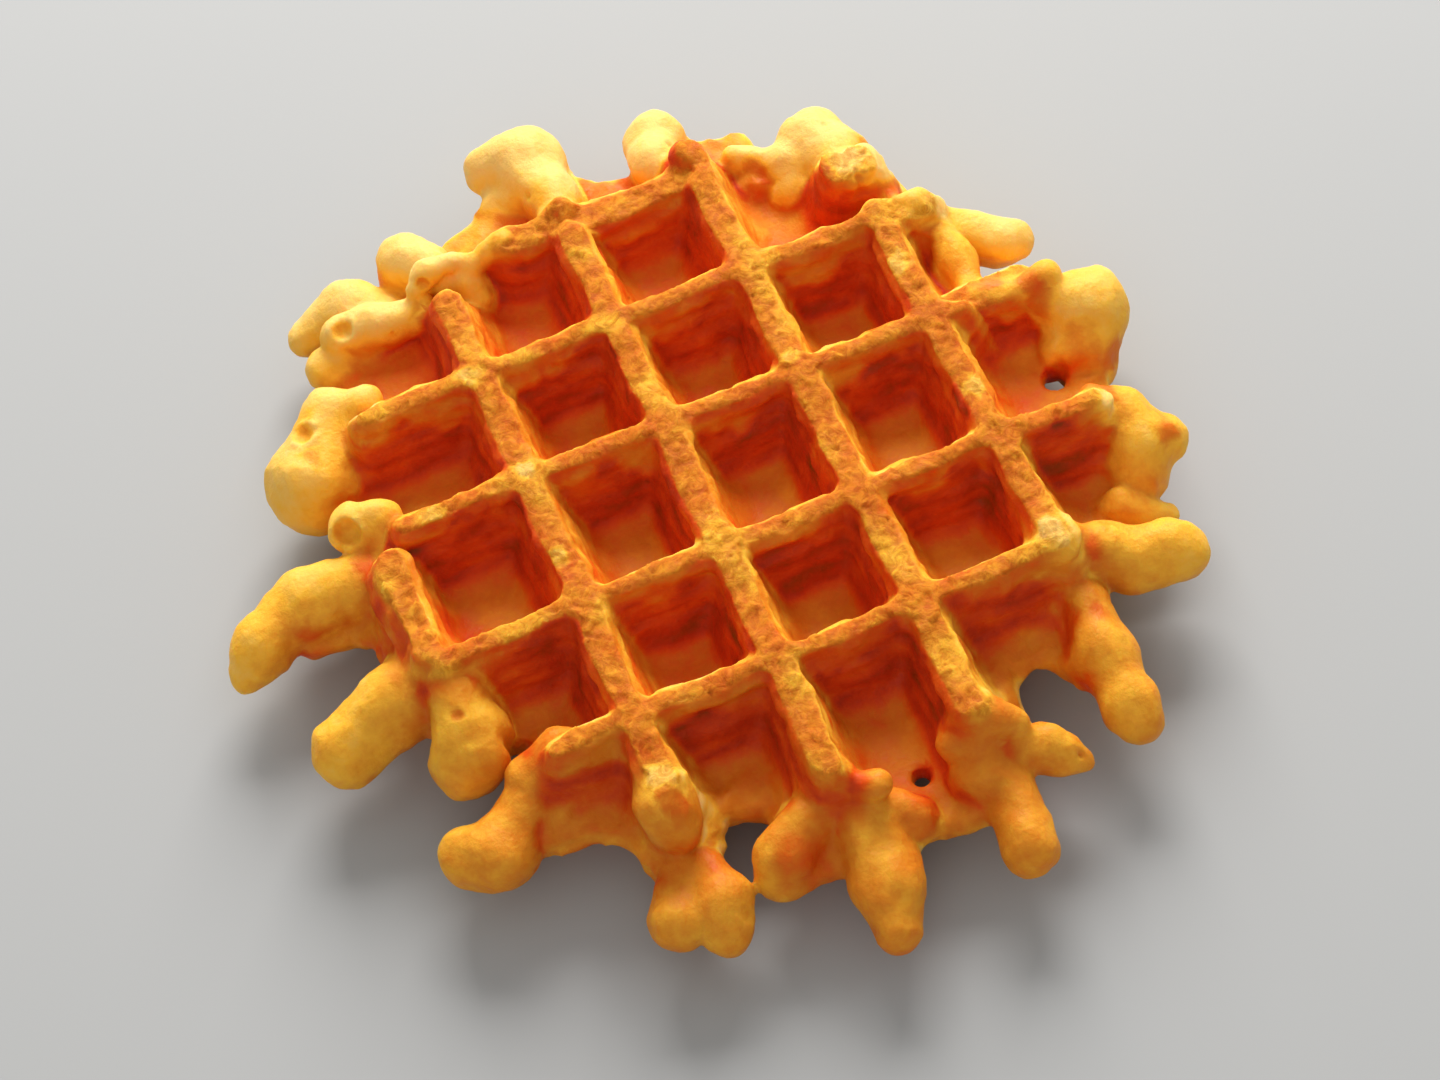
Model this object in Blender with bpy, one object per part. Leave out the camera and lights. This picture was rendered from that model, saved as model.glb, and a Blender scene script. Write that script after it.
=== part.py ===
"""Round waffle from a deep-pocketed iron, with the drips of batter that ran out round its rim.

The waffle lies flat, its origin in the middle of the underside, +Z up, in metres.
A place on it is given in ridge counts: u counts the ridges from left to right, v counts
them from the far side to the near side, so ridge crossings have whole numbers. The
ridges of constant u run away from the viewer and those of constant v run across.
"""
import math

import bpy
import bmesh
import numpy as np

# Driving dimensions, in metres unless they say otherwise
PITCH = 0.017            # from one ridge to the next
LONG_CREST = 0.0027      # width along its crest of a ridge that runs away
LONG_DRAFT = 0.0032      # how far such a ridge's side leans out from crest to floor
ACROSS_CREST = 0.0018    # the same for a ridge that runs across
ACROSS_DRAFT = 0.0039
UPPER_POCKET = 0.0102    # depth of the pockets in the upper side
LOWER_POCKET = 0.0058    # depth of the pockets in the underside
WEB = 0.0026             # thickness of the floor between the two
MIDDLE = (1.993, 3.378)  # the ridge counts of the waffle's middle
VOXEL = 0.0008           # grain of the fused surface
SOFTENING = 5            # passes that round the inner corners and the edges
FACE_BUDGET = 9600       # triangles in the finished solid
RING = 16                # corners in a rounded ridge end

HEIGHT = LOWER_POCKET + WEB + UPPER_POCKET
WEB_TOP = LOWER_POCKET + WEB

# Where the grid strays from even spacing, in ridge counts
ACROSS_SHIFT = {3: -0.05, 4: 0.05}

# Ridges that run away from the viewer: u, v where each starts and ends, and how many
# millimetres its crest falls short of the full height
LONG_RIDGES = [
    (-0.08, 3.20, 3.88, 0.0),
    (1, 1.32, 5.50, 0.0),
    (2, 0.92, 5.85, 0.0),
    (3, 0.85, 5.85, 0.0),
    (3.92, 1.42, 1.52, 0.0),
    (4.10, 1.42, 1.52, 0.0),
    (4, 1.95, 4.95, 0.0),
]

# Ridges that run across: v, u where each starts and ends, and the same shortfall
ACROSS_RIDGES = [
    (0.94, 1.60, 1.95, 1.8),
    (1, 1.95, 2.98, 1.8),
    (2, 0.15, 4.12, 0.0),
    (2, 4.12, 4.34, 1.6),
    (3, 0.12, 4.22, 0.0),
    (2.91, 4.22, 4.70, 2.6),
    (4, 0.00, 4.70, 0.0),
    (5, 0.45, 4.00, 0.0),
]

# The floor's outline, in ridge counts, clockwise from the far left
WEB_OUTLINE = [
    (0.20, 0.80), (0.80, 0.55), (1.20, 0.36), (1.60, 0.19), (2.15, 0.00), (2.32, 0.25),
    (2.50, 0.39), (2.75, 0.37), (3.15, 0.32), (3.52, 0.40), (3.66, 0.66), (4.12, 0.95),
    (4.22, 1.28), (4.30, 1.58), (4.44, 1.90), (4.48, 2.20), (4.55, 2.42), (4.70, 2.62),
    (4.96, 2.82), (5.08, 3.10), (5.06, 3.55), (4.95, 3.90), (4.92, 4.30), (4.70, 4.52),
    (4.55, 4.80), (4.20, 5.00), (4.05, 5.60), (3.82, 5.72), (3.65, 5.50), (3.43, 5.58),
    (3.36, 6.05), (2.85, 6.42), (2.45, 6.36), (2.10, 6.50), (1.85, 6.30), (1.62, 5.90),
    (1.52, 5.72), (1.30, 5.66), (1.16, 5.95), (0.80, 6.00), (0.69, 5.66), (0.50, 5.42),
    (0.22, 5.37), (0.00, 5.10), (0.24, 4.72), (0.10, 4.45), (-0.15, 4.20), (-0.25, 3.85),
    (-0.12, 3.62), (-0.40, 3.40), (-0.78, 3.25), (-0.80, 2.95), (-0.28, 2.62), (-0.20, 2.10),
    (-0.02, 1.55), (0.05, 1.25), (0.12, 1.00),
]

# Round holes through the floor: u, v and radius
WEB_HOLES = [
    (2.58, 5.93, 0.0014),
    (4.67, 3.47, 0.0017),
    (0.27, 4.62, 0.0016),
]

# Batter that ran out of the grooves. Each drip is a chain of balls: u, v, height of the
# ball's middle and its radius, the last two in millimetres
DRIPS = {
    "far_1": [(1.06, 0.88, 12.0, 2.4), (1.00, 0.67, 11.0, 2.7), (0.88, 0.50, 9.5, 3.5),
              (0.83, 0.54, 8.0, 2.7)],
    "corner_1": [(0.82, 0.98, 14.5, 1.2), (0.95, 0.92, 15.5, 1.2), (1.12, 0.91, 15.5, 1.3)],
    "corner_1_knob": [(1.18, 0.87, 14.5, 1.5), (1.29, 0.92, 14.0, 1.7)],
    "corner_1_fill": [(1.20, 0.97, 12.0, 2.4), (1.24, 1.09, 10.5, 2.1)],
    "corner_1_crag": [(1.40, 0.89, 14.5, 1.5), (1.56, 0.90, 15.5, 1.1)],
    "far_2": [(2.03, 0.90, 13.0, 2.4), (2.05, 0.53, 11.0, 3.3), (1.97, 0.05, 9.5, 4.6),
              (1.70, -0.06, 8.5, 3.3)],
    "far_2_front": [(1.87, 0.28, 8.0, 3.7), (1.69, 0.21, 7.5, 2.8)],
    "far_3": [(2.94, 0.85, 12.0, 2.3), (2.83, 0.56, 11.0, 3.0), (2.92, 0.28, 9.5, 3.9)],
    "far_4": [(4.02, 1.31, 12.0, 3.2), (4.05, 1.13, 11.0, 3.8), (3.92, 0.88, 9.5, 5.2)],
    "far_4_base": [(3.68, 0.97, 10.0, 3.6), (3.66, 1.11, 9.2, 3.0)],
    "far_4_side": [(4.15, 1.39, 12.0, 2.0), (4.17, 1.59, 12.5, 1.8), (4.23, 1.83, 13.5, 1.3)],
    "far_rim": [(3.36, 0.77, 11.0, 2.2), (3.75, 0.98, 9.0, 2.5)],
    "far_bubble": [(3.41, 0.97, 9.7, 1.7), (3.44, 0.99, 9.7, 1.9)],
    "rim_1": [(0.81, 1.06, 12.0, 2.3), (0.52, 0.99, 11.0, 2.6), (0.25, 0.96, 10.0, 2.8)],
    "rim_1_under": [(0.35, 1.06, 8.0, 2.4), (0.07, 1.05, 7.5, 2.9)],
    "rim_0": [(0.57, 0.81, 8.5, 2.7), (0.39, 0.65, 8.5, 3.4), (0.01, 0.65, 6.5, 2.7)],
    "left_2": [(0.18, 1.68, 13.0, 2.4), (-0.06, 1.58, 11.0, 3.2), (-0.32, 1.97, 8.5, 6.3)],
    "left_3_knob": [(-0.06, 2.90, 12.5, 2.3), (-0.01, 2.75, 14.5, 2.3), (-0.19, 2.68, 13.5, 3.3)],
    "left_3_crag": [(-0.19, 3.22, 15.3, 1.5), (-0.17, 3.41, 15.0, 1.5), (-0.16, 3.58, 14.5, 1.5)],
    "left_3": [(-0.25, 3.04, 10.0, 4.2), (-0.68, 2.98, 9.0, 4.4), (-1.09, 3.12, 8.0, 3.4),
               (-1.28, 3.21, 7.0, 2.3)],
    "left_4": [(-0.15, 3.98, 12.0, 3.4), (-0.39, 3.91, 10.0, 4.6), (-0.81, 4.05, 8.0, 4.3)],
    "near_0": [(-0.01, 4.17, 13.5, 3.5), (-0.02, 4.48, 10.5, 4.4), (-0.14, 4.54, 8.5, 3.9)],
    "left_5": [(0.49, 4.85, 13.0, 2.4), (0.25, 4.91, 11.0, 2.9)],
    "left_5_foot": [(0.19, 5.00, 10.0, 2.8), (-0.11, 5.25, 8.0, 4.0), (-0.33, 5.16, 7.5, 3.6)],
    "near_1": [(0.96, 5.41, 14.5, 2.2), (0.96, 5.62, 14.5, 3.2), (0.96, 5.71, 13.0, 3.3)],
    "near_1_foot_left": [(0.89, 5.94, 8.5, 2.6), (0.75, 6.19, 8.0, 3.6)],
    "near_1_foot_right": [(1.05, 5.97, 8.5, 2.4), (1.06, 6.20, 8.0, 3.4), (1.03, 6.35, 7.0, 3.2)],
    "near_2_left": [(1.99, 5.90, 12.0, 1.8), (1.77, 5.98, 10.5, 2.7), (1.56, 6.10, 9.0, 3.2),
                    (1.46, 6.18, 7.5, 2.7)],
    "near_2_web": [(1.49, 6.21, 7.0, 2.4), (1.80, 6.22, 7.0, 2.4)],
    "near_2_knob": [(2.16, 5.99, 14.0, 1.9), (2.25, 6.04, 14.5, 2.1)],
    "near_2": [(2.12, 6.11, 9.5, 4.1), (2.07, 6.53, 8.0, 3.9), (2.01, 6.83, 7.0, 3.0)],
    "near_2_right": [(2.25, 6.05, 10.0, 2.4), (2.42, 6.19, 9.0, 2.6)],
    "near_3": [(3.01, 6.00, 11.0, 3.7), (2.99, 6.11, 9.5, 4.4)],
    "near_3_top": [(2.86, 5.92, 12.5, 2.2), (3.09, 5.92, 14.5, 2.1), (3.22, 5.98, 13.0, 2.2)],
    "near_3_finger": [(3.06, 6.32, 9.0, 3.3), (3.03, 6.70, 8.0, 3.4)],
    "near_3_knob": [(3.17, 6.03, 10.0, 2.9), (3.40, 6.11, 9.5, 2.8), (3.52, 6.20, 8.5, 2.1),
                    (3.59, 6.27, 8.0, 1.2)],
    "near_4_knob": [(4.02, 4.92, 15.0, 2.7), (4.02, 5.01, 13.0, 2.8)],
    "near_4": [(4.07, 5.29, 10.5, 3.0), (4.01, 5.64, 9.5, 3.6), (4.03, 6.04, 8.5, 3.1),
               (4.04, 6.16, 8.0, 2.4)],
    "right_5": [(4.11, 4.93, 13.5, 2.9), (4.37, 4.97, 10.5, 3.2), (4.51, 5.09, 9.5, 3.0),
                (4.74, 5.11, 9.5, 3.5), (4.81, 5.14, 9.2, 3.4)],
    "right_5_lip": [(4.62, 4.60, 9.0, 2.1), (4.71, 4.65, 7.5, 2.0), (4.90, 4.74, 6.5, 1.6)],
    "right_4": [(4.74, 3.93, 14.0, 2.3), (4.89, 3.98, 11.5, 3.0), (4.94, 4.24, 10.0, 3.6),
                (4.87, 4.39, 8.5, 3.7)],
    "right_4_lobe": [(5.02, 4.26, 10.5, 3.0), (5.10, 4.27, 10.0, 3.0)],
    "right_3_crag": [(4.67, 2.97, 15.0, 1.6), (4.87, 2.97, 15.5, 1.8)],
    "right_3": [(4.85, 3.06, 13.0, 2.8), (5.10, 3.14, 10.0, 5.1), (4.94, 3.32, 7.5, 4.5),
                (4.95, 3.39, 6.2, 3.6)],
    "right_2": [(4.38, 1.99, 12.0, 2.3), (4.58, 2.08, 10.0, 2.9), (4.86, 2.29, 9.0, 3.1)],
    "right_2_under": [(4.56, 2.13, 8.0, 2.3), (4.78, 2.27, 7.5, 2.3)],
    "right_2_crag": [(4.14, 1.93, 15.5, 1.1), (4.29, 1.94, 16.0, 1.0), (4.36, 1.89, 16.0, 0.8)],
    "right_2_rim": [(4.42, 2.17, 12.5, 1.8), (4.43, 2.41, 12.0, 1.7), (4.40, 2.68, 12.5, 1.4)],
    "right_2_rim_foot": [(4.37, 2.13, 9.5, 1.9), (4.37, 2.43, 9.5, 1.9), (4.38, 2.66, 9.5, 1.9)],
    "right_3_rim": [(4.38, 2.87, 14.8, 1.2), (4.56, 2.93, 14.8, 1.3), (4.73, 2.95, 15.0, 1.4)],
}
MM = 0.001


def across(v):
    """Ridge count v after the small strays from even spacing, taken in between."""
    counts = range(-1, 9)
    return float(np.interp(v, counts, [count + ACROSS_SHIFT.get(count, 0.0) for count in counts]))


def place(u, v, z):
    """Point in metres of ridge counts u and v at height z."""
    return ((u - MIDDLE[0]) * PITCH, (MIDDLE[1] - across(v)) * PITCH, z)


def clear_scene():
    """Removes every object that the new scene opened with."""
    for thing in list(bpy.data.objects):
        bpy.data.objects.remove(thing, do_unlink=True)


def hull(body, points):
    """Adds the convex hull of points to body as a closed shell of its own."""
    shell = bmesh.new()
    for point in points:
        shell.verts.new(point)
    done = bmesh.ops.convex_hull(shell, input=shell.verts)
    spare = set(done["geom_interior"]) | set(done["geom_unused"])
    bmesh.ops.delete(shell, geom=list(spare), context="VERTS")
    mesh = bpy.data.meshes.new("shell")
    shell.to_mesh(mesh)
    shell.free()
    body.from_mesh(mesh)
    bpy.data.meshes.remove(mesh)


def ridge(body, start, end, crest, draft, short):
    """Ridge between two places: widest at the floor, drafted to both crests, round-ended.

    Its upper crest stays short millimetres under the full height.
    """
    lower_draft = draft * LOWER_POCKET / UPPER_POCKET
    levels = [
        (0.0, crest / 2),
        (LOWER_POCKET, crest / 2 + lower_draft),
        (WEB_TOP, crest / 2 + draft),
        (HEIGHT - short * MM, crest / 2),
    ]
    points = []
    for u, v in (start, end):
        for z, radius in levels:
            x, y, _ = place(u, v, z)
            for step in range(RING):
                turn = 2 * math.pi * step / RING
                points.append((x + radius * math.cos(turn), y + radius * math.sin(turn), z))
    hull(body, points)


def drip(body, balls):
    """Chain of balls, each pair joined by its hull, as batter that ran and set."""
    for first, second in zip(balls, balls[1:]):
        points = []
        for u, v, height, radius in (first, second):
            x, y, z = place(u, v, height * MM)
            ball = bmesh.new()
            bmesh.ops.create_icosphere(ball, subdivisions=3, radius=radius * MM)
            points += [(x + p.co.x, y + p.co.y, z + p.co.z) for p in ball.verts]
            ball.free()
        hull(body, points)


def smooth_outline(corners, steps=4):
    """Closed curve through corners, with steps points from each corner to the next."""
    count = len(corners)
    curve = []
    for index in range(count):
        p0, p1, p2, p3 = (np.array(corners[(index + k) % count]) for k in (-1, 0, 1, 2))
        for step in range(steps):
            t = step / steps
            curve.append(0.5 * (2 * p1 + (p2 - p0) * t + (2 * p0 - 5 * p1 + 4 * p2 - p3) * t**2
                                + (3 * p1 - p0 - 3 * p2 + p3) * t**3))
    return curve


def web(body):
    """The floor: its outline filled and given its thickness."""
    sheet = bmesh.new()
    rim = [sheet.verts.new(place(u, v, LOWER_POCKET)) for u, v in smooth_outline(WEB_OUTLINE)]
    sheet.faces.new(rim)
    bmesh.ops.triangulate(sheet, faces=sheet.faces)
    grown = bmesh.ops.extrude_face_region(sheet, geom=sheet.faces[:])
    raised = [item for item in grown["geom"] if isinstance(item, bmesh.types.BMVert)]
    bmesh.ops.translate(sheet, verts=raised, vec=(0.0, 0.0, WEB))
    bmesh.ops.recalc_face_normals(sheet, faces=sheet.faces)
    mesh = bpy.data.meshes.new("sheet")
    sheet.to_mesh(mesh)
    sheet.free()
    body.from_mesh(mesh)
    bpy.data.meshes.remove(mesh)


def hole_cutters():
    """Upright pins where the batter left a hole, as one object for a Boolean."""
    pins = bmesh.new()
    for u, v, radius in WEB_HOLES:
        before = set(pins.verts)
        bmesh.ops.create_cone(pins, cap_ends=True, segments=RING, radius1=radius,
                              radius2=radius, depth=2 * HEIGHT)
        fresh = [vert for vert in pins.verts if vert not in before]
        bmesh.ops.translate(pins, verts=fresh, vec=place(u, v, HEIGHT / 2))
    mesh = bpy.data.meshes.new("holes")
    pins.to_mesh(mesh)
    pins.free()
    cutter = bpy.data.objects.new("holes", mesh)
    bpy.context.scene.collection.objects.link(cutter)
    cutter.hide_render = True
    cutter.display_type = "WIRE"
    return cutter


def baked_crust():
    """Golden brown baked batter, dull with a slight sheen of butter."""
    material = bpy.data.materials.new("baked_crust")
    material.use_nodes = True
    shader = material.node_tree.nodes["Principled BSDF"]
    shader.inputs["Base Color"].default_value = (0.62, 0.27, 0.045, 1.0)
    shader.inputs["Roughness"].default_value = 0.55
    shader.inputs["Metallic"].default_value = 0.0
    return material


def baked(thing):
    """Applies the modifiers of thing and returns the mesh that they give."""
    graph = bpy.context.evaluated_depsgraph_get()
    return bpy.data.meshes.new_from_object(thing.evaluated_get(graph))


def rest_flat(mesh):
    """Levels the crests of the underside, which the waffle lies on, and centres it on them."""
    places = np.empty(len(mesh.vertices) * 3)
    mesh.vertices.foreach_get("co", places)
    places = places.reshape(-1, 3)
    lowest = places.min(axis=0)
    highest = places.max(axis=0)
    places -= ((lowest[0] + highest[0]) / 2, (lowest[1] + highest[1]) / 2, lowest[2])
    places[places[:, 2] < VOXEL / 4, 2] = 0.0
    mesh.vertices.foreach_set("co", places.ravel())


def waffle():
    """All the batter fused into one solid, softened, thinned and laid flat."""
    body = bmesh.new()
    web(body)
    for u, v_start, v_end, short in LONG_RIDGES:
        ridge(body, (u, v_start), (u, v_end), LONG_CREST, LONG_DRAFT, short)
    for v, u_start, u_end, short in ACROSS_RIDGES:
        ridge(body, (u_start, v), (u_end, v), ACROSS_CREST, ACROSS_DRAFT, short)
    for balls in DRIPS.values():
        drip(body, balls)
    mesh = bpy.data.meshes.new("waffle")
    body.to_mesh(mesh)
    body.free()
    thing = bpy.data.objects.new("waffle", mesh)
    bpy.context.scene.collection.objects.link(thing)

    fused = thing.modifiers.new("fused", "REMESH")
    fused.mode = "VOXEL"
    fused.voxel_size = VOXEL
    holes = hole_cutters()
    cut = thing.modifiers.new("holes", "BOOLEAN")
    cut.operation = "DIFFERENCE"
    cut.object = holes
    refused = thing.modifiers.new("refused", "REMESH")
    refused.mode = "VOXEL"
    refused.voxel_size = VOXEL
    softened = thing.modifiers.new("softened", "SMOOTH")
    softened.factor = 0.5
    softened.iterations = SOFTENING
    dense = baked(thing)
    faces = sum(len(face.vertices) - 2 for face in dense.polygons)
    bpy.data.meshes.remove(dense)
    thinned = thing.modifiers.new("thinned", "DECIMATE")
    thinned.ratio = FACE_BUDGET / faces
    thinned.use_collapse_triangulate = True

    solid = baked(thing)
    thing.modifiers.clear()
    bpy.data.objects.remove(holes, do_unlink=True)
    rest_flat(solid)
    solid.shade_smooth()
    solid.materials.clear()
    solid.materials.append(baked_crust())
    thing.data = solid
    thing.data.name = "waffle"
    return thing


clear_scene()
piece = waffle()
corners = np.array([corner[:] for corner in piece.bound_box])
print("triangles", len(piece.data.polygons))
print("size in mm", (np.ptp(corners, axis=0) / MM).round(1))
print("middle in mm", ((corners.max(axis=0) + corners.min(axis=0)) / 2 / MM).round(2))
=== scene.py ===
# %% [markdown]
# # A round waffle with lumpy drips
#
# The real thing is one piece of batter, baked between two iron plates. The plates press a square grid of
# ridges and pockets into it, and what runs out over the rim sets as soft, lumpy drips.
#
# Every piece below stands in the frame of the imported model, in metres, with +Z up. The frame is loaded
# first and never changed. Its box is kept: it bounds the lattice, and the finished waffle is held inside
# it.

# %% Load the frame
import bpy
import math
import numpy as np
from mathutils import Matrix, Vector


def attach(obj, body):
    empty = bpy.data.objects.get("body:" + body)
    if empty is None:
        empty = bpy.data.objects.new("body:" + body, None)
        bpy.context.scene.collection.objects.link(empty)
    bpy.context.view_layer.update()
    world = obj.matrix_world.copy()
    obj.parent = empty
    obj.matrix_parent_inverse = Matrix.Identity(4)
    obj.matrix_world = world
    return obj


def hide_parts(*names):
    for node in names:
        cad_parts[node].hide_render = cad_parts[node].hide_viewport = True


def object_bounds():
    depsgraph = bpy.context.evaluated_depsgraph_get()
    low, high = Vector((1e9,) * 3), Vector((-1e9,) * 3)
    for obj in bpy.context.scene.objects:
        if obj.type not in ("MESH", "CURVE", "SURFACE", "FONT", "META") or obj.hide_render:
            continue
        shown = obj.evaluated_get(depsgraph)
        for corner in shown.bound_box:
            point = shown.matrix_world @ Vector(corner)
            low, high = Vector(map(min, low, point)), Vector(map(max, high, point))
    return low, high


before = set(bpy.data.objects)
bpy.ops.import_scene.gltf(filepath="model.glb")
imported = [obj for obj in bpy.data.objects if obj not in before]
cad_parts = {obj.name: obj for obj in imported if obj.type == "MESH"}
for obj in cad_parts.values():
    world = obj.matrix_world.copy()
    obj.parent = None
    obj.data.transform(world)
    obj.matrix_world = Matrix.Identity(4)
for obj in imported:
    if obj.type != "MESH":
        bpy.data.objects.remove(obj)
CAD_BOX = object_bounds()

print("nodes:", sorted(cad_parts), "box:", [tuple(round(x, 4) for x in corner) for corner in CAD_BOX])

# %% [markdown]
# ## The iron's grid
#
# The grid is the waffle's own ruler. A place is given by its column u and its row v, counted in pockets,
# and by its height z in millimetres. One pocket is 17 mm. Two of the rows were pressed a little off the
# square, so rows between them are shifted in proportion.
#
# Shapes are worked out in millimetres, because they read more easily, and only the finished mesh is
# turned into metres.

# %% The iron's sizes
PITCH = 17.0
UPPER_POCKET = 10.2
LOWER_POCKET = 5.8
WEB = 2.6
WEB_TOP = LOWER_POCKET + WEB
HEIGHT = WEB_TOP + UPPER_POCKET
MIDDLE = (1.993, 3.378)
ROW_SHIFT = {0: 0.0, 2: 0.0, 3: -0.05, 4: 0.05, 5: 0.0, 7: 0.0}


def place(u, v):
    """x = (u - middle u) * pitch, y = (middle v - v - shift of that row) * pitch, in millimetres."""
    row = v + np.interp(v, list(ROW_SHIFT), list(ROW_SHIFT.values()))
    return (u - MIDDLE[0]) * PITCH, (MIDDLE[1] - row) * PITCH


print("one pocket is", PITCH, "mm and the waffle is", HEIGHT, "mm thick")

# %% [markdown]
# ## A field to hold the shape
#
# Baked batter has no sharp joins: a ridge runs into the web, and a drip into the ridge, through a soft
# hollow. Modelling those joins face by face is slow work. Here the shape is a field instead: a number at
# each point of a fine lattice that says how far the point is from the crust, below zero inside. Two shapes
# are joined by taking the smaller number, and a smooth minimum rounds the join.

# %% The lattice
STEP = 0.36
MARGIN = 3 * STEP
LOW = np.array(CAD_BOX[0]) * 1000 - MARGIN
HIGH = np.array(CAD_BOX[1]) * 1000 + MARGIN
counts = np.ceil((HIGH - LOW) / STEP).astype(int) + 1
axis_x, axis_y, axis_z = (LOW[i] + STEP * np.arange(counts[i], dtype=np.float32) for i in range(3))
X = axis_x[:, None, None].astype(np.float32)
Y = axis_y[None, :, None].astype(np.float32)
Z = axis_z[None, None, :].astype(np.float32)
print("lattice points:", counts, "in all", counts.prod())


# %% Joining and measuring
def smooth_min(a, b, soft):
    """The smaller of a and b, less soft * h^2 / 4 where h = 1 - |a - b| / soft is above zero."""
    near = np.clip(1 - np.abs(a - b) / soft, 0, 1)
    return np.minimum(a, b) - soft * near * near / 4


def smooth_max(a, b, soft):
    """The larger of a and b with the edge between them rounded: -smooth_min(-a, -b)."""
    return -smooth_min(-a, -b, soft)


def ease(low, high, value):
    """0 below low, 1 above high, and 3t^2 - 2t^3 between, with t the share of the way."""
    share = np.clip((value - low) / (high - low), 0, 1)
    return share * share * (3 - 2 * share)


def sample(field, points):
    """The field at any points: the lattice values round a point, mixed in proportion to nearness."""
    sides = field.ndim
    at = np.clip((points[:, :sides] - LOW[:sides]) / STEP, 0, np.array(field.shape) - 1.001)
    cell = at.astype(int)
    part = at - cell
    total = np.zeros(len(points))
    for corner in np.ndindex(*(2,) * sides):
        weight = np.prod(np.where(corner, part, 1 - part), axis=1)
        total += weight * field[tuple((cell + corner).T)]
    return total


# %% [markdown]
# ## Unevenness
#
# No two pockets are alike. The unevenness comes from gradient noise, which is smooth, never repeats within
# the waffle, and is the same each time because its random draw has a seed. Its wave is a real length in
# millimetres, so that each roughness keeps its scale.

# %% Noise
NOISE_GAIN = 1.7
DRAWS = 256


def drawn_for(cell, shuffle):
    """Which of the draws each lattice cube has: its three numbers looked up in a shuffled order in turn."""
    at = cell & (DRAWS - 1)
    return shuffle[shuffle[shuffle[at[:, 0]] + at[:, 1]] + at[:, 2]]


def noise(points, wave, seed):
    """Each corner of a lattice of cubes `wave` wide has a random direction g, and its value at a point is
    g . (point - corner) / wave. The eight values are mixed by the fade 6t^5 - 15t^4 + 10t^3, and the gain
    brings their sum to about -1 to 1."""
    draw = np.random.default_rng(seed)
    shuffle = np.tile(draw.permutation(DRAWS), 2)
    slopes = draw.normal(size=(DRAWS, 3))
    slopes /= np.linalg.norm(slopes, axis=1, keepdims=True)
    whole = np.floor(points / wave)
    part = points / wave - whole
    cell = whole.astype(int)
    fade = part ** 3 * (part * (part * 6 - 15) + 10)
    total = np.zeros(len(points))
    for corner in np.ndindex(2, 2, 2):
        pick = drawn_for(cell + corner, shuffle)
        weight = np.prod(np.where(corner, fade, 1 - fade), axis=1)
        total += weight * np.einsum("ij,ij->i", slopes[pick], part - corner)
    return NOISE_GAIN * total


def map_noise(wave, seed):
    """The noise over the plan of the lattice, as a map over x and y."""
    level = 0.5
    grid = np.broadcast_arrays(axis_x[:, None], axis_y[None, :], level)
    plan = np.stack([a.ravel() for a in grid], axis=1)
    return noise(plan, wave, seed).reshape(len(axis_x), len(axis_y)).astype(np.float32)


# %% [markdown]
# ## The ridges
#
# A ridge is where batter filled a groove of the iron. Its sides lean inwards, so that the waffle lets go of
# the plate: this lean is called draft. In plan a ridge is everything within a half-width of its middle
# line, and the half-width grows from the crest down to the web. The long ridges are broader than those
# across. The width and the height waver by a few tenths of a millimetre, as the batter didn't fill every
# groove, and a crest sags a little between two crossings.
#
# Each row below is one straight piece: its column or row on the grid, where it starts and ends, and how
# many millimetres its crest falls short. Four pieces at the far and right rim fall short, because the
# batter ran thin there, and their crests hand over softly. Two stumps side by side make the broad block
# at the far right.

# %% The ridges in plan
LONG_RIDGES = [
    (-0.08, 3.20, 3.88, 0.0), (1, 1.32, 5.50, 0.0), (2, 0.92, 5.85, 0.0), (3, 0.85, 5.85, 0.0),
    (3.92, 1.42, 1.52, 0.0), (4.10, 1.42, 1.52, 0.0), (4, 1.95, 4.95, 0.0)]
ACROSS_RIDGES = [
    (0.94, 1.60, 1.95, 1.8), (1, 1.95, 2.98, 1.8), (2, 0.15, 4.12, 0.0), (2, 4.12, 4.34, 1.6),
    (3, 0.12, 4.22, 0.0), (2.91, 4.22, 4.70, 2.6), (4, 0.00, 4.70, 0.0), (5, 0.45, 4.00, 0.0)]
MEANDER = 0.35
MEANDER_WAVE = 16.0
CORNER_SOFT = 1.5

plan_x = axis_x[:, None]
plan_y = axis_y[None, :]
sway = MEANDER * map_noise(MEANDER_WAVE, 11)
swing = MEANDER * map_noise(MEANDER_WAVE, 12)
long_each, across_each = [], []
for u, first, last, _ in LONG_RIDGES:
    x, top = place(u, first)
    low = place(u, last)[1]
    long_each.append(np.hypot(plan_x + sway - x, plan_y - np.clip(plan_y, low, top)))
for v, first, last, _ in ACROSS_RIDGES:
    left, y = place(first, v)
    right = place(last, v)[0]
    across_each.append(np.hypot(plan_x - np.clip(plan_x, left, right), plan_y + swing - y))
long_way = np.min(long_each, axis=0)
across_way = np.min(across_each, axis=0)
print("ridge pieces:", len(LONG_RIDGES), "long and", len(ACROSS_RIDGES), "across")

# %% The ridges' height and sides
LONG_CREST = 2.7
LONG_DRAFT = 3.2
ACROSS_CREST = 1.5
ACROSS_DRAFT = 4.1
CREST_GAP = 0.05
CREST_WAVER = 0.4
CREST_SAG = 0.5
SAG_STARTS, SAG_FULL = 1, 7
WIDTH_WAVER = 0.3
HANDOVER = 1.5
SHORT_FULL, SHORT_ENDS = 5, 8
EDGE_SOFT = 0.5

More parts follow.
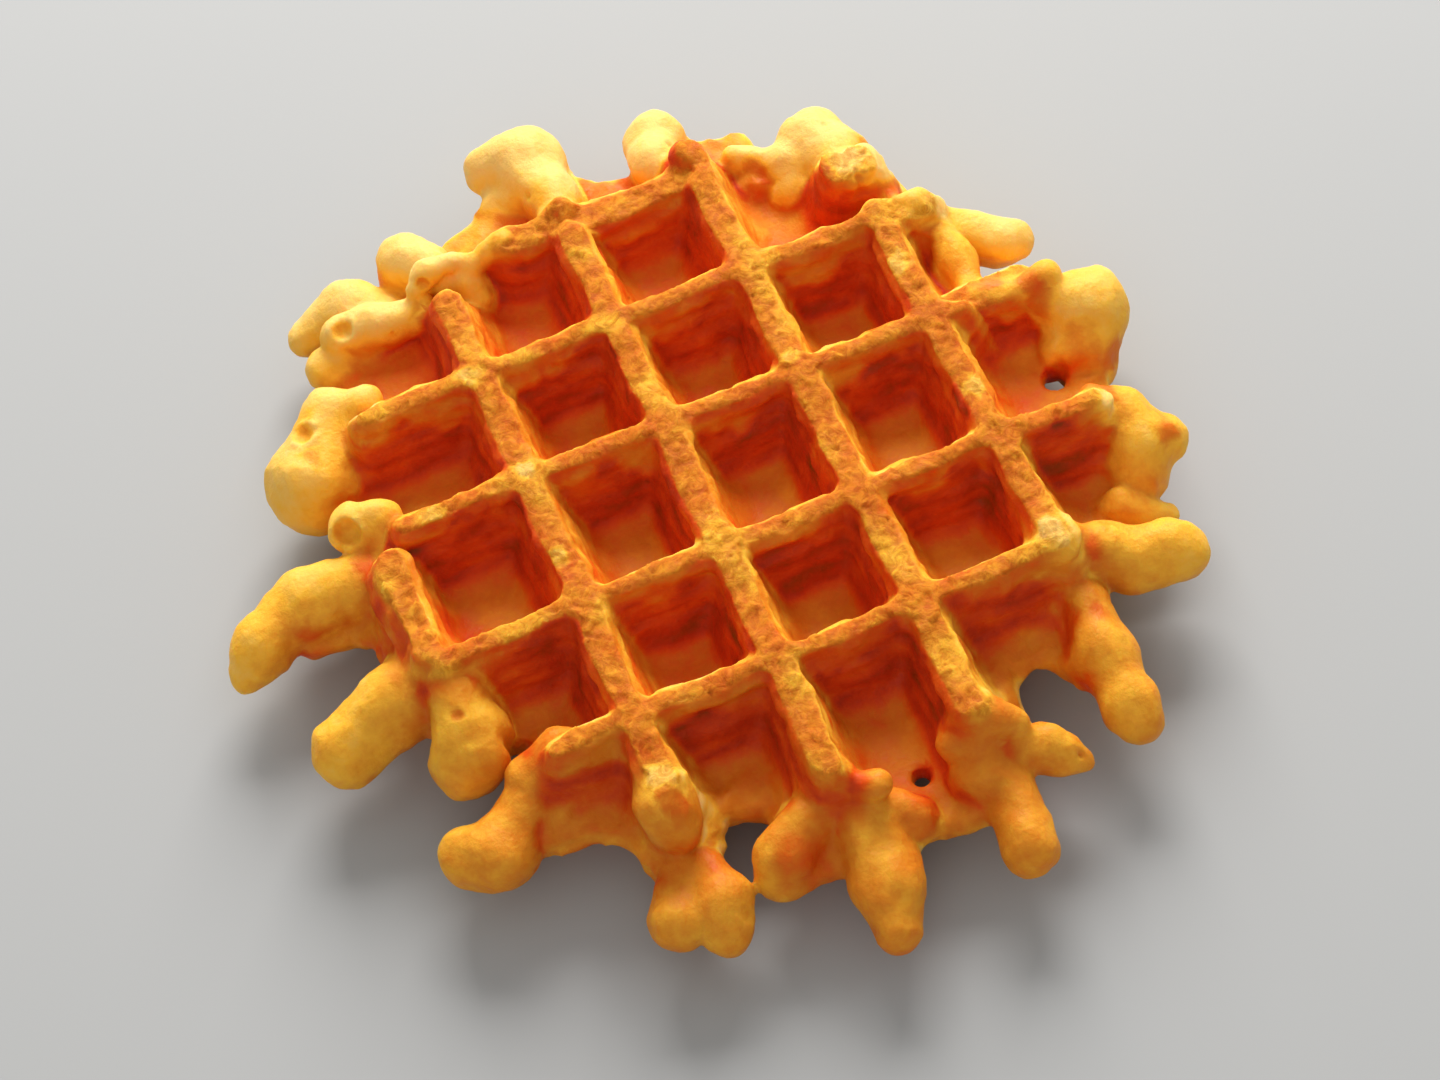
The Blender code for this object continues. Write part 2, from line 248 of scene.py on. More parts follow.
short = np.array([ridge[3] for ridge in LONG_RIDGES + ACROSS_RIDGES])
each = np.array(long_each + across_each)
full = each[short == 0].min(axis=0)
drop = np.zeros_like(full)
for away, less in zip(each[short > 0], short[short > 0]):
    nearer = ease(-HANDOVER, HANDOVER, full - away)
    drop = np.maximum(drop, less * nearer * ease(SHORT_ENDS, SHORT_FULL, away))
sag = CREST_SAG * ease(SAG_STARTS, SAG_FULL, np.maximum(long_way, across_way))
crest_level = HEIGHT - CREST_GAP - drop - sag - CREST_WAVER * (0.5 + 0.5 * map_noise(9.0, 21))
waver = WIDTH_WAVER * (map_noise(5.0, 22) + 0.5 * map_noise(2.4, 23))


def side_walls(way, crest, draft):
    """(way - half-width) * cos(lean), where the half-width grows by the draft from the crest to the web."""
    levels = [0, LOWER_POCKET, WEB_TOP, HEIGHT]
    lower_root = crest / 2 + draft * LOWER_POCKET / UPPER_POCKET
    half_width = np.interp(Z, levels, [crest / 2, lower_root, crest / 2 + draft, crest / 2])
    lean = math.atan(draft / UPPER_POCKET)
    return (((way + waver)[:, :, None] - half_width) * math.cos(lean)).astype(np.float32)


ridges = smooth_min(side_walls(long_way, LONG_CREST, LONG_DRAFT),
                    side_walls(across_way, ACROSS_CREST, ACROSS_DRAFT), CORNER_SOFT)
ridges = smooth_max(ridges, Z - crest_level[:, :, None], EDGE_SOFT)
ridges = smooth_max(ridges, -Z, EDGE_SOFT)
print("crest height", crest_level.min().round(2), "to", crest_level.max().round(2), "mm")

# %% [markdown]
# ## The web
#
# The web is the thin floor between the two plates. Its outline is where the batter stopped, so it is
# drawn as a closed line through a few places on the grid and rounded between them. The floors of the
# pockets swell a little, because the steam lifts them before the crust sets.

# %% The web's outline
OUTLINE_WAVER = 0.5
WEB_OUTLINE = [
    (0.20, 0.80), (0.80, 0.55), (1.20, 0.36), (1.60, 0.19), (2.15, 0.00), (2.32, 0.25),
    (2.50, 0.39), (2.75, 0.37), (3.15, 0.32), (3.52, 0.40), (3.66, 0.66), (4.12, 0.95),
    (4.22, 1.28), (4.30, 1.58), (4.44, 1.90), (4.48, 2.20), (4.55, 2.42), (4.70, 2.62),
    (4.96, 2.82), (5.08, 3.10), (5.06, 3.55), (4.95, 3.90), (4.92, 4.30), (4.70, 4.52),
    (4.55, 4.80), (4.20, 5.00), (4.05, 5.60), (3.82, 5.72), (3.65, 5.50), (3.43, 5.58),
    (3.36, 6.05), (2.85, 6.42), (2.45, 6.36), (2.10, 6.50), (1.85, 6.30), (1.62, 5.90),
    (1.52, 5.72), (1.30, 5.66), (1.16, 5.95), (0.80, 6.00), (0.69, 5.66), (0.50, 5.42),
    (0.22, 5.37), (0.00, 5.10), (0.24, 4.72), (0.10, 4.45), (-0.15, 4.20), (-0.25, 3.85),
    (-0.12, 3.62), (-0.40, 3.40), (-0.78, 3.25), (-0.80, 2.95), (-0.28, 2.62), (-0.20, 2.10),
    (-0.02, 1.55), (0.05, 1.25), (0.12, 1.00)]


def rounded(corners, steps=6):
    """A Catmull-Rom curve through the corners: (2b + (c-a)t + (2a-5b+4c-d)t^2 + (3b-a-3c+d)t^3) / 2, where
    b and c are a stretch's ends, a and d the corners beyond them, and t runs from 0 to 1."""
    t = np.linspace(0, 1, steps, endpoint=False)[None, :, None]
    a, b, c, d = (np.roll(corners, shift, axis=0)[:, None, :] for shift in (1, 0, -1, -2))
    square, cube = 2 * a - 5 * b + 4 * c - d, 3 * b - a - 3 * c + d
    return ((2 * b + (c - a) * t + square * t ** 2 + cube * t ** 3) / 2).reshape(-1, 2)


def plan_distance(line):
    """The distance in plan from a closed line: to its nearest stretch, and below zero where a ray to the
    right crosses the line an odd number of times."""
    nearest = np.full((len(axis_x), len(axis_y)), 1e6)
    crossed = np.zeros(nearest.shape, bool)
    for (ax, ay), (bx, by) in zip(line, np.roll(line, -1, axis=0)):
        along = (plan_x - ax) * (bx - ax) + (plan_y - ay) * (by - ay)
        share = np.clip(along / ((bx - ax) ** 2 + (by - ay) ** 2), 0, 1)
        away = (plan_x - ax - share * (bx - ax)) ** 2 + (plan_y - ay - share * (by - ay)) ** 2
        nearest = np.minimum(nearest, away)
        if ay != by:
            spans = (plan_y < ay) != (plan_y < by)
            crossed ^= spans & (plan_x < ax + (plan_y - ay) * (bx - ax) / (by - ay))
    return (np.sqrt(nearest) * np.where(crossed, -1, 1)).astype(np.float32)


corners = np.stack(place(*np.array(WEB_OUTLINE).T), axis=1)
outline = plan_distance(rounded(corners)) + OUTLINE_WAVER * map_noise(6.0, 31)
print("web area", int((outline < 0).sum() * STEP ** 2), "mm2")

# %% The web's thickness
SWELL = 0.45
SWELL_MEAN = 0.3
LIP_SOFT = 2.2
ROOT_SOFT = 3.2
WEB_MIDDLE = LOWER_POCKET + WEB / 2

thick = WEB / 2 + SWELL * (SWELL_MEAN + map_noise(9.0, 32))
slab = smooth_max(outline[:, :, None], np.abs(Z - WEB_MIDDLE) - thick[:, :, None], LIP_SOFT)
pressed = smooth_min(ridges, slab, ROOT_SOFT)
print("web thickness", (2 * thick.min()).round(2), "to", (2 * thick.max()).round(2), "mm")

# %% [markdown]
# ## The drips
#
# Batter that ran out between the plates met the air and puffed up into soft fingers and knobs. Each drip is
# a chain of balls, and two neighbours are joined by the cone that wraps them both: at any point the
# radius is mixed from the two ends. Where one drip ran against another a crease is left, so chains are
# joined more sharply than the balls of one chain. The chains were placed from where the drips stand along
# the rim and how far they reach.

# %% The drips' balls
DRIPS = {
    "far_1": [(1.06, 0.88, 12.0, 2.4), (1.00, 0.67, 11.0, 2.7), (0.88, 0.50, 9.5, 3.5),
        (0.83, 0.54, 8.0, 2.7)],
    "corner_1": [(0.82, 0.98, 14.5, 1.2), (0.95, 0.92, 15.5, 1.2), (1.12, 0.91, 15.5, 1.3)],
    "corner_1_knob": [(1.18, 0.87, 14.5, 1.5), (1.29, 0.92, 14.0, 1.7)],
    "corner_1_fill": [(1.20, 0.97, 12.0, 2.4), (1.24, 1.09, 10.5, 2.1)],
    "corner_1_crag": [(1.40, 0.89, 14.5, 1.5), (1.56, 0.90, 15.5, 1.1)],
    "far_2": [(2.03, 0.90, 13.0, 2.4), (2.05, 0.53, 11.0, 3.3), (1.97, 0.05, 9.5, 4.6),
        (1.70, -0.06, 8.5, 3.3)],
    "far_2_front": [(1.87, 0.28, 8.0, 3.7), (1.69, 0.21, 7.5, 2.8)],
    "far_3": [(2.94, 0.85, 12.0, 2.3), (2.83, 0.56, 11.0, 3.0), (2.92, 0.28, 9.5, 3.9)],
    "far_4": [(4.02, 1.31, 12.0, 3.2), (4.05, 1.13, 11.0, 3.8), (3.92, 0.88, 9.5, 5.2)],
    "far_4_base": [(3.68, 0.97, 10.0, 3.6), (3.66, 1.11, 9.2, 3.0)],
    "far_4_side": [(4.15, 1.39, 12.0, 2.0), (4.17, 1.59, 12.5, 1.8), (4.23, 1.83, 13.5, 1.3)],
    "far_rim": [(3.36, 0.77, 11.0, 2.2), (3.75, 0.98, 9.0, 2.5)],
    "far_bubble": [(3.41, 0.97, 9.7, 1.7), (3.44, 0.99, 9.7, 1.9)],
    "rim_1": [(0.81, 1.06, 12.0, 2.3), (0.52, 0.99, 11.0, 2.6), (0.25, 0.96, 10.0, 2.8)],
    "rim_1_under": [(0.35, 1.06, 8.0, 2.4), (0.07, 1.05, 7.5, 2.9)],
    "rim_0": [(0.57, 0.81, 8.5, 2.7), (0.39, 0.65, 8.5, 3.4), (0.01, 0.65, 6.5, 2.7)],
    "left_2": [(0.18, 1.68, 13.0, 2.4), (-0.06, 1.58, 11.0, 3.2), (-0.32, 1.97, 8.5, 6.3)],
    "left_3_knob": [(-0.06, 2.90, 12.5, 2.3), (-0.01, 2.75, 14.5, 2.3), (-0.19, 2.68, 13.5, 3.3)],
    "left_3_crag": [(-0.19, 3.22, 15.3, 1.5), (-0.17, 3.41, 15.0, 1.5), (-0.16, 3.58, 14.5, 1.5)],
    "left_3": [(-0.25, 3.04, 10.0, 4.2), (-0.68, 2.98, 9.0, 4.4), (-1.09, 3.12, 8.0, 3.4),
        (-1.28, 3.21, 7.0, 2.3)],
    "left_4": [(-0.15, 3.98, 12.0, 3.4), (-0.39, 3.91, 10.0, 4.6), (-0.81, 4.05, 8.0, 4.3)],
    "near_0": [(-0.01, 4.17, 13.5, 3.5), (-0.02, 4.48, 10.5, 4.4), (-0.14, 4.54, 8.5, 3.9)],
    "left_5": [(0.49, 4.85, 13.0, 2.4), (0.25, 4.91, 11.0, 2.9)],
    "left_5_foot": [(0.19, 5.00, 10.0, 2.8), (-0.11, 5.25, 8.0, 4.0), (-0.33, 5.16, 7.5, 3.6)],
    "near_1": [(0.96, 5.41, 14.5, 2.2), (0.96, 5.62, 14.5, 3.2), (0.96, 5.71, 13.0, 3.3)],
    "near_1_foot_left": [(0.89, 5.94, 8.5, 2.6), (0.75, 6.19, 8.0, 3.6)],
    "near_1_foot_right": [(1.05, 5.97, 8.5, 2.4), (1.06, 6.20, 8.0, 3.4), (1.03, 6.35, 7.0, 3.2)],
    "near_2_left": [(1.99, 5.90, 12.0, 1.8), (1.77, 5.98, 10.5, 2.7), (1.56, 6.10, 9.0, 3.2),
        (1.46, 6.18, 7.5, 2.7)],
    "near_2_web": [(1.49, 6.21, 7.0, 2.4), (1.80, 6.22, 7.0, 2.4)],
    "near_2_knob": [(2.16, 5.99, 14.0, 1.9), (2.25, 6.04, 14.5, 2.1)],
    "near_2": [(2.12, 6.11, 9.5, 4.1), (2.07, 6.53, 8.0, 3.9), (2.01, 6.83, 7.0, 3.0)],
    "near_2_right": [(2.25, 6.05, 10.0, 2.4), (2.42, 6.19, 9.0, 2.6)],
    "near_3": [(3.01, 6.00, 11.0, 3.7), (2.99, 6.11, 9.5, 4.4)],
    "near_3_top": [(2.86, 5.92, 12.5, 2.2), (3.09, 5.92, 14.5, 2.1), (3.22, 5.98, 13.0, 2.2)],
    "near_3_finger": [(3.06, 6.32, 9.0, 3.3), (3.03, 6.70, 8.0, 3.4)],
    "near_3_knob": [(3.17, 6.03, 10.0, 2.9), (3.40, 6.11, 9.5, 2.8), (3.52, 6.20, 8.5, 2.1),
        (3.59, 6.27, 8.0, 1.2)],
    "near_4_knob": [(4.02, 4.92, 15.0, 2.7), (4.02, 5.01, 13.0, 2.8)],
    "near_4": [(4.07, 5.29, 10.5, 3.0), (4.01, 5.64, 9.5, 3.6), (4.03, 6.04, 8.5, 3.1),
        (4.04, 6.16, 8.0, 2.4)],
    "right_5": [(4.11, 4.93, 13.5, 2.9), (4.37, 4.97, 10.5, 3.2), (4.51, 5.09, 9.5, 3.0),
        (4.74, 5.11, 9.5, 3.5), (4.81, 5.14, 9.2, 3.4)],
    "right_5_lip": [(4.62, 4.60, 9.0, 2.1), (4.71, 4.65, 7.5, 2.0), (4.90, 4.74, 6.5, 1.6)],
    "right_4": [(4.74, 3.93, 14.0, 2.3), (4.89, 3.98, 11.5, 3.0), (4.94, 4.24, 10.0, 3.6),
        (4.87, 4.39, 8.5, 3.7)],
    "right_4_lobe": [(5.02, 4.26, 10.5, 3.0), (5.10, 4.27, 10.0, 3.0)],
    "right_3_crag": [(4.67, 2.97, 15.0, 1.6), (4.87, 2.97, 15.5, 1.8)],
    "right_3": [(4.85, 3.06, 13.0, 2.8), (5.10, 3.14, 10.0, 5.1), (4.94, 3.32, 7.5, 4.5),
        (4.95, 3.39, 6.2, 3.6)],
    "right_2": [(4.38, 1.99, 12.0, 2.3), (4.58, 2.08, 10.0, 2.9), (4.86, 2.29, 9.0, 3.1)],
    "right_2_under": [(4.56, 2.13, 8.0, 2.3), (4.78, 2.27, 7.5, 2.3)],
    "right_2_crag": [(4.14, 1.93, 15.5, 1.1), (4.29, 1.94, 16.0, 1.0), (4.36, 1.89, 16.0, 0.8)],
    "right_2_rim": [(4.42, 2.17, 12.5, 1.8), (4.43, 2.41, 12.0, 1.7), (4.40, 2.68, 12.5, 1.4)],
    "right_2_rim_foot": [(4.37, 2.13, 9.5, 1.9), (4.37, 2.43, 9.5, 1.9), (4.38, 2.66, 9.5, 1.9)],
    "right_3_rim": [(4.38, 2.87, 14.8, 1.2), (4.56, 2.93, 14.8, 1.3), (4.73, 2.95, 15.0, 1.4)],
}
CHAIN_SOFT = 2.0
CREASE_SOFT = 0.7
JOIN_SOFT = 1.8
REACH = 4.0


def cone(block, start, end):
    """The distance from a cone with round ends: |p - (a + t(b - a))| - (ra + t(rb - ra)), where t is the
    share of the way along the middle line, from 0 to 1."""
    a, b = np.array(start[:3]), np.array(end[:3])
    along = b - a
    x, y, z = X[block[0]], Y[:, block[1]], Z[:, :, block[2]]
    share = (along[0] * (x - a[0]) + along[1] * (y - a[1]) + along[2] * (z - a[2])) / (along @ along)
    share = np.clip(share, 0, 1)
    away = sum((p - a[i] - share * along[i]) ** 2 for i, p in enumerate((x, y, z)))
    return np.sqrt(away) - (start[3] + share * (end[3] - start[3]))


def block_round(low, high):
    """The slices of the lattice that hold a box from low to high, in millimetres."""
    first = np.clip(((np.array(low) - LOW) / STEP).astype(int), 0, counts - 1)
    last = np.clip(((np.array(high) - LOW) / STEP).astype(int) + 2, 1, counts)
    return tuple(slice(a, b) for a, b in zip(first, last))


drips = np.full(counts, REACH, np.float32)
for chain in DRIPS.values():
    balls = [(*place(u, v), z, radius) for u, v, z, radius in chain]
    centres = np.array(balls)[:, :3]
    span = max(ball[3] for ball in balls) + REACH
    block = block_round(centres.min(0) - span, centres.max(0) + span)
    own = np.full(drips[block].shape, REACH, np.float32)
    for start, end in zip(balls, balls[1:]):
        own = smooth_min(own, cone(block, start, end), CHAIN_SOFT)
    drips[block] = smooth_min(drips[block], own, CREASE_SOFT)
crust = smooth_min(pressed, drips, JOIN_SOFT)
print("drips:", len(DRIPS), "of", sum(len(chain) for chain in DRIPS.values()), "balls")

# %% [markdown]
# ## Holes and hollows
#
# In three places the web never closed, and one sees right through. A few bubbles burst as they set, and
# left round hollows in the drips. Both are cut by taking the larger number: what is inside the hole is
# outside the waffle. A hole has a place on the grid and a radius, and a hollow has its height as well.

# %% Holes and hollows
WEB_HOLES = [(2.58, 5.93, 1.1), (4.67, 3.47, 1.5), (0.27, 4.62, 1.6)]
HOLLOWS = [
    (-0.28, 2.79, 15.6, 1.6), (-0.29, 1.77, 14.5, 1.3), (0.25, 0.99, 13.0, 1.2), (0.90, 1.01, 15.9, 0.7),
    (2.34, 6.29, 11.3, 0.6), (-0.05, 4.40, 15.9, 0.6), (3.47, 1.01, 11.6, 0.6)]
HOLLOW_SOFT = 0.6

for u, v, radius in WEB_HOLES:
    x, y = place(u, v)
    tube = np.hypot(X - x, Y - y) - radius
    crust = smooth_max(crust, np.broadcast_to(-tube, crust.shape), HOLLOW_SOFT)
for u, v, z, radius in HOLLOWS:
    centre = np.array([*place(u, v), z])
    block = block_round(centre - radius - REACH, centre + radius + REACH)
    away = [(p - c) ** 2 for p, c in zip((X[block[0]], Y[:, block[1]], Z[:, :, block[2]]), centre)]
    crust[block] = smooth_max(crust[block], radius - np.sqrt(sum(away)), HOLLOW_SOFT)
print("holes:", len(WEB_HOLES), "hollows:", len(HOLLOWS))

# %% [markdown]
# ## From field to surface
#
# Surface nets turn the field into a mesh: each lattice cell that the crust passes through gets one point,
# the mean of where the crust crosses its edges, and each crossed edge gets one quad joining the points of
# the four cells round it. The points are then moved along the field's slope until they lie on the crust,
# which takes away the stair steps of the lattice. The mesh has no poles or seams, and it is closed.

# %% Surface nets
def surface_nets(field):
    """Points and quads of the surface where the field is zero, with the quads facing outwards."""
    inside = field < 0
    strides = np.array([field.shape[1] * field.shape[2], field.shape[2], 1])
    flat = field.ravel()
    crossings, quads = [], []
    for axis in range(3):
        found = np.nonzero(np.diff(inside, axis=axis))
        first = np.ravel_multi_index(found, field.shape)
        a, b = flat[first].astype(float), flat[first + strides[axis]].astype(float)
        spot = np.stack(found, axis=1).astype(float)
        spot[:, axis] += a / (a - b)
        side, other = strides[(axis + 1) % 3], strides[(axis + 2) % 3]
        quad = np.stack([first, first - side, first - side - other, first - other], axis=1)
        outward = a < 0
        quads.append(np.where(outward[:, None], quad, quad[:, ::-1]))
        crossings.append(np.repeat(spot, 4, axis=0))
    quads, crossings = np.concatenate(quads), np.concatenate(crossings)
    _, index = np.unique(quads.ravel(), return_inverse=True)
    index = index.ravel()
    share = np.bincount(index)
    points = np.stack([np.bincount(index, crossings[:, i]) / share for i in range(3)], axis=1)
    return LOW + points * STEP, index.reshape(-1, 4)


points, quads = surface_nets(crust)
print("surface nets:", len(points), "points and", len(quads), "quads")


# %% Settle the points on the crust
SETTLE_ROUNDS = 3
LEAST_SLOPE = 0.3


def slopes_of(field):
    """The field's slope along x, y and z, by differences between lattice neighbours."""
    return [part.astype(np.float32) for part in np.gradient(field, STEP)]


def outward(points):
    """The unit slope of the crust's field, which points out of the crust."""
    slope = np.stack([sample(part, points) for part in crust_slopes], axis=1)
    return slope / np.maximum(np.linalg.norm(slope, axis=1, keepdims=True), 1e-6)


crust_slopes = slopes_of(crust)
for _ in range(SETTLE_ROUNDS):
    slope = np.stack([sample(part, points) for part in crust_slopes], axis=1)
    size = np.maximum((slope ** 2).sum(axis=1), LEAST_SLOPE)
    points = points - slope * (sample(crust, points) / size)[:, None]
normals = outward(points)
print("left over", np.abs(sample(crust, points)).mean().round(4), "mm")

# %% [markdown]
# ## Which part of the crust a point is on
#
# The iron pressed and browned the ridges and pockets, while the drips baked in the open. Both the relief
# and the colours need to know which is which, so each point gets a few shares from 0 to 1: free batter,
# crest, floor, and wall for the rest. Towards the rim the plates pressed less, which is a share of its own.

# %% Shares of each region
# Each pair says where a share is 0 and where it is 1, in millimetres, or in the normal's upright part.
BATTER_AHEAD = (-0.4, 1.0)
BELOW_CREST = (1.5, 0.5)
CREST_FACES_UP = (0.45, 0.8)
FROM_WEB = (2.2, 0.6)
FLOOR_FACES_UP = (0.5, 0.95)
FROM_RIM = (-7, -1)
RIM_WAVER = 1.5


def regions(points, normals):
    """Shares from the fields: batter where the drips' field is the smaller, crest near the top or bottom of
    a ridge, floor where the web faces up or down, wall for what is left, and rim near the web's edge."""
    z = points[:, 2]
    batter = ease(*BATTER_AHEAD, sample(pressed, points) - sample(drips, points))
    top = sample(crest_level, points)
    flat = np.abs(normals[:, 2])
    near_crest = np.maximum(ease(top - BELOW_CREST[0], top - BELOW_CREST[1], z), ease(*BELOW_CREST, z))
    crest = near_crest * ease(*CREST_FACES_UP, flat) * (1 - batter)
    near_web = ease(WEB / 2 + FROM_WEB[0], WEB / 2 + FROM_WEB[1], np.abs(z - WEB_MIDDLE))
    floor = near_web * ease(*FLOOR_FACES_UP, flat) * (1 - batter)
    wall = np.clip(1 - batter - crest - floor, 0, 1)
    rim = ease(*FROM_RIM, sample(outline, points) + RIM_WAVER * noise(points, 6.0, 33))
    return {"batter": batter, "crest": crest, "floor": floor, "wall": wall, "rim": rim}


shares = regions(points, normals)
print({name: share.mean().round(3) for name, share in shares.items()})

# %% [markdown]
# ## Relief
#
# The crests are rough where the dried skin of the batter stuck to the grooves and tore off in flakes one or
# two millimetres wide, each a small tilted facet. Under a crest's edge the torn skin leaves a ledge in
# places. The walls keep streaks that run round the pocket and small blisters. The floors are nearly smooth.
# The drips swell and sag in soft lumps, with a few pin holes where steam came out, and the larger burst
# bubbles keep a torn lip. The points move along their normals by the sum of these. What would then stand
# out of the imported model's box is drawn in softly.

# %% Kinds of unevenness
SECOND_DRAW = 500


def folds(points, wave, seed):
    """Sharp-topped wrinkles: 1 - 2|noise|, which is highest along the lines where the noise is zero."""
    return 1 - 2 * np.abs(noise(points, wave, seed))


def scattered(points, size, seed):
    """For each point the nearest of many scattered seeds: how far it is, in units of `size`, where the
    point lies from it, and which of the draws the seed has."""
    draw = np.random.default_rng(seed)
    shuffle = np.tile(draw.permutation(DRAWS), 2)
    offsets = draw.random((DRAWS, 3))
    cell = np.floor(points / size).astype(int)
    nearest = np.full(len(points), 1e9)
    arm = np.zeros((len(points), 3))
    drawn = np.zeros(len(points), int)
    for step in np.ndindex(3, 3, 3):
        there = cell + step - 1
        pick = drawn_for(there, shuffle)
        away = points / size - there - offsets[pick]
        far = (away ** 2).sum(axis=1)
        closer = far < nearest
        nearest = np.where(closer, far, nearest)
        arm = np.where(closer[:, None], away, arm)
        drawn = np.where(closer, pick, drawn)
    return np.sqrt(nearest), arm, drawn


def flakes(points, size, seed):
    """Tilted facets: half a height drawn for the nearest seed, plus g . arm with a slope g drawn for it,
    held between -1.5 and 1.5."""
    draw = np.random.default_rng(seed + SECOND_DRAW)
    heights = draw.uniform(-1, 1, DRAWS)
    tilts = draw.normal(size=(DRAWS, 3))
    _, arm, drawn = scattered(points, size, seed)
    return np.clip(0.5 * heights[drawn] + np.einsum("ij,ij->i", tilts[drawn], arm), -1.5, 1.5)


def layered(points, wave, seed, fine_wave, fine_seed):
    """A noise with a finer one on top, half as strong."""
    return noise(points, wave, seed) + 0.5 * noise(points, fine_wave, fine_seed)


def hump(value, middle, width):
    """exp(-((value - middle) / width)^2): 1 at the middle and next to nothing from two widths away."""
    return np.exp(-((value - middle) / width) ** 2)


def pits(points, size, radius, seed):
    """Round pits: -(1 - (distance / radius)^2)^2 within the radius of a seed, in millimetres, else 0."""
    away = scattered(points, size, seed)[0] * size
    return -np.clip(1 - (away / radius) ** 2, 0, 1) ** 2


# %% The torn skin and the burst bubbles
BEND = 0.35
LARGE_FLAKE = 1.9
SMALL_FLAKE = 1.15
WITH_LIP = 1.0
LIP_AWAY = 0.5
LIP_WIDTH = 0.4


def roughness(points):
    """The torn skin of the crests, about from -1.5 to 1.5: large facets, small ones and fine wrinkles, as
    8 to 6 to 3, on points bent a little so that no facet has a straight edge."""
    bent = points + BEND * np.stack([noise(points, 1.8, 53 + i) for i in range(3)], axis=1)
    facets = 0.8 * flakes(bent, LARGE_FLAKE, 41) + 0.6 * flakes(bent, SMALL_FLAKE, 42)
    return facets + 0.3 * folds(points, 1.6, 43) - 0.3


def from_bubbles(points, smallest=0.0):
    """How far each point is from the nearest wall of a burst bubble of more than that radius."""
    bubbles = np.array([(*place(u, v), z, radius) for u, v, z, radius in HOLLOWS if radius > smallest])
    middles, radii = bubbles[:, :3], bubbles[:, 3]
    return (np.linalg.norm(points[:, None, :] - middles, axis=2) - radii).min(axis=1)


def bubble_lip(points):
    """The torn edge round a large burst bubble: a hump half a millimetre outside it, times uneven noise."""
    uneven = ease(-0.3, 0.3, noise(points, 1.6, 72))
    return uneven * hump(from_bubbles(points, WITH_LIP), LIP_AWAY, LIP_WIDTH)


# %% Relief
# Heights in millimetres, each for its own kind of unevenness.
CREST_ROUGH = 0.17
LEDGE = 0.40
WALL_STREAK = 0.24
BLISTER = 0.32
FLOOR_SWELL = 0.12
RIM_CRAG = 0.60
DRIP_LUMP = 0.55
DRIP_GRAIN = 0.11
PIN_HOLE = 0.55
LIP = 0.35
# Where they lie, and how large they are, in millimetres.
LEDGE_BELOW, LEDGE_WIDTH = 1.3, 0.6
UNDERCUT_BELOW, UNDERCUT_WIDTH = 2.7, 0.8
BLISTERS_END, BLISTERS_FULL = 6.0, 2.0
PIN_SPACING, PIN_RADIUS = 7.0, 0.8
# How deep the hollow under a ledge is, as a share of the ledge, and how far crags and lumps sink in.
UNDERCUT = 0.8
CRAG_SUNK = 0.2
LUMP_SUNK = 0.3
# Noise on points that are squashed sideways gives streaks that run level.
STREAK_SQUASH = np.array([0.22, 0.22, 1])


def relief(points, shares):
    """How far each point moves out along its normal, in millimetres, as a sum over the regions."""
    under = sample(crest_level, points) - points[:, 2]
    torn = ease(0.0, 0.4, noise(points, 6.0, 55))
    ledge = torn * (hump(under, LEDGE_BELOW, LEDGE_WIDTH)
                    - UNDERCUT * hump(under, UNDERCUT_BELOW, UNDERCUT_WIDTH))
    bands = layered(points * STREAK_SQUASH, 1.5, 46, 0.8, 44)
    blisters = np.clip(noise(points, 1.7, 47), 0, 1) * ease(BLISTERS_END, BLISTERS_FULL, under)
    wall = WALL_STREAK * bands + BLISTER * blisters + LEDGE * ledge
    floor = FLOOR_SWELL * layered(points, 5.0, 48, 1.8, 49)
    crags = RIM_CRAG * (noise(points, 4.2, 56) + 0.5 * folds(points, 2.6, 57) - CRAG_SUNK)
    lumps = layered(points, 7.5, 50, 3.4, 51)
    batter = DRIP_LUMP * (lumps - LUMP_SUNK) + DRIP_GRAIN * noise(points, 1.4, 52)
    batter = batter + PIN_HOLE * pits(points, PIN_SPACING, PIN_RADIUS, 58) + LIP * bubble_lip(points)
    pressed_part = (shares["crest"] * CREST_ROUGH * roughness(points) + shares["wall"] * wall
                    + shares["floor"] * floor + (1 - shares["batter"]) * shares["rim"] * crags)
    return pressed_part + shares["batter"] * batter


# %% Held in the box
RIM_ROOM = 2


def kept_inside(points):
    """The points with the outermost 2 mm of the box's reach drawn in by 2 tanh(over / 2), so that no lump
    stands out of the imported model's box. Above and below, the iron's flat plates stop them."""
    reach = np.array(CAD_BOX[1])[:2] * 1000 - RIM_ROOM
    out = np.abs(points[:, :2])
    over = np.maximum(out - reach, 0)
    held = np.minimum(out, reach) + RIM_ROOM * np.tanh(over / RIM_ROOM)
    points[:, :2] = np.sign(points[:, :2]) * held
    points[:, 2] = np.clip(points[:, 2], 0, HEIGHT)
    return points


points = kept_inside(points + normals * relief(points, shares)[:, None])
print("after relief", points.min(0).round(2), points.max(0).round(2))

# %% [markdown]
# ## The mesh
#
# The nets give more faces than the crust needs on its calm parts. Decimate takes out the points that
# change the shape least, so the wrinkled crests keep theirs. It is applied here, so that what follows can
# be worked out on the final points. It may move a point by some hundredths of a millimetre, so the points
# are held in the box once more.

# %% The mesh
TRIANGLES = 196000


def numbers(mesh, what, size):
    """One property of all vertices as an array."""
    values = np.empty(len(mesh.vertices) * size, np.float32)
    mesh.vertices.foreach_get(what, values)
    return values.reshape(-1, size).astype(float)


